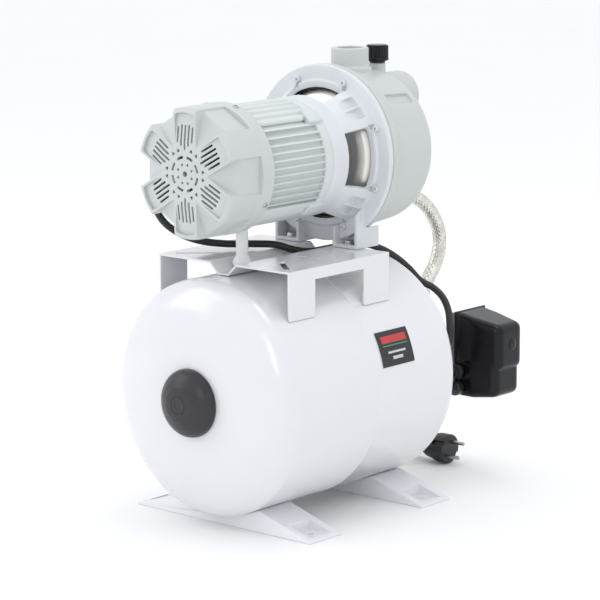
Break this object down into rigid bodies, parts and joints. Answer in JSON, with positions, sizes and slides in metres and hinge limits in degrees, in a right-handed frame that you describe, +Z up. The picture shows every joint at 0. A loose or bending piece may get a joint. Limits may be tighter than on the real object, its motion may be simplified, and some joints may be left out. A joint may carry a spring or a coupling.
{
  "type": "shallow well jet pump",
  "caption": "Shallow well jet pump with finned motor, petal-shaped fan cover and bell adapter, standing on a horizontal white pressure tank with switch, braided hose and mains lead.",
  "frame": {"origin": "centre of the bounding box at floor level, the mains lead and its plug left out", "axes": "+Z up; the pump shaft and the tank's axis lie along Y, with the fan end towards -Y and the suction port towards +Y; +X is the side with the pressure switch"},
  "size_m": [0.2788, 0.4858, 0.534],
  "materials": {
    "white_paint": "smooth satin white paint on steel",
    "tank_foot_paint": "satin white paint on folded steel sheet",
    "grey_paint": "light grey satin paint on a casting",
    "grey_plastic": "light grey moulded plastic with a fine grain",
    "grey_alloy": "light grey painted extruded alloy",
    "cast_alloy": "off-white painted die casting, slightly rough",
    "stainless": "polished stainless sheet",
    "steel": "bright turned steel",
    "iron": "laminated or cast iron",
    "copper": "varnished copper winding",
    "brass": "machined brass",
    "braid": "woven stainless wire braid",
    "black_plastic": "black moulded plastic",
    "black_cap": "dark grey-black moulded plastic, satin",
    "black_rubber": "black rubber",
    "pale_plastic": "pale filled plastic",
    "label_film": "black printed film with plain coloured fields"
  },
  "bodies": {
    "pump_set": {"tank_shell": "white_paint", "tank_bladder": "black_rubber", "tank_air_valve": "brass", "tank_rear_flange": "steel", "front_foot": "tank_foot_paint", "rear_foot": "tank_foot_paint", "pump_saddle": "white_paint", "motor_support_post": "grey_paint", "fan_cover": "grey_plastic", "motor_housing": "grey_alloy", "stator_core": "iron", "stator_winding": "copper", "bearing_fan_end": "steel", "bearing_drive_end": "steel", "end_shield": "cast_alloy", "terminal_box": "black_plastic", "terminal_box_cover": "black_plastic", "run_capacitor": "pale_plastic", "motor_lead_gland": "black_rubber", "pump_adapter": "cast_alloy", "casing_gasket": "black_rubber", "seal_plate": "stainless", "shaft_seal_seat": "pale_plastic", "diffuser": "pale_plastic", "venturi_tube": "pale_plastic", "jet_nozzle": "brass", "pump_casing": "grey_paint", "hose_fitting_pump": "brass", "hose_ferrule_pump": "steel", "braided_hose": "braid", "hose_ferrule_tank": "steel", "hose_union_nut": "brass", "tank_manifold": "brass", "switch_nipple": "brass", "switch_base": "iron", "switch_cover": "black_plastic", "switch_stud": "steel", "switch_spring": "steel", "switch_contact_block": "pale_plastic", "switch_gland_motor": "black_rubber", "switch_gland_mains": "black_rubber", "motor_lead": "black_rubber", "mains_lead": "black_rubber", "mains_coil": "black_rubber", "mains_lead_tail": "black_rubber", "plug_body": "black_rubber", "plug_pin_a": "steel", "plug_pin_b": "steel", "rating_label": "label_film"},
    "rotor": {"motor_shaft": "steel", "rotor_core": "iron", "cooling_fan": "black_plastic", "shaft_seal_rotating": "black_rubber", "impeller": "brass", "impeller_nut": "steel"},
    "priming_washer": {"priming_plug_seal": "black_rubber"},
    "priming_cap": {"priming_plug": "black_plastic"},
    "drain_screw": {"drain_plug": "black_plastic"},
    "tank_cap": {"tank_air_cap": "black_cap"},
    "switch_arm": {"switch_lever": "steel"}
  },
  "joints": [
    {"name": "rotor_spin", "type": "hinge", "parent": "pump_set", "child": "rotor", "pos_m": [0, 0, 0.4138], "axis": [0, 1, 0], "continuous": true},
    {"name": "priming_plug_rise", "type": "slide", "parent": "pump_set", "child": "priming_washer", "axis": [0, 0, 1], "range_m": [0, 0.018]},
    {"name": "priming_plug_turn", "type": "hinge", "parent": "priming_washer", "child": "priming_cap", "pos_m": [0, 0.11115, 0.512], "axis": [0, 0, 1], "range_deg": [0, 2170]},
    {"name": "drain_plug_out", "type": "slide", "parent": "pump_set", "child": "drain_screw", "axis": [0, 1, 0], "range_m": [0, 0.02]},
    {"name": "tank_cap_off", "type": "slide", "parent": "pump_set", "child": "tank_cap", "axis": [0, -1, 0], "range_m": [0, 0.03]},
    {"name": "switch_lever_tilt", "type": "hinge", "parent": "pump_set", "child": "switch_arm", "pos_m": [0.0845, 0.20215, 0.1225], "axis": [0, 1, 0], "range_deg": [-2, 2], "stiffness_Nm_per_rad": 0.8}
  ],
  "couplings": [
    {"joint": "priming_plug_turn", "follows": "priming_plug_rise", "rad_per_m": 2094.4}
  ]
}
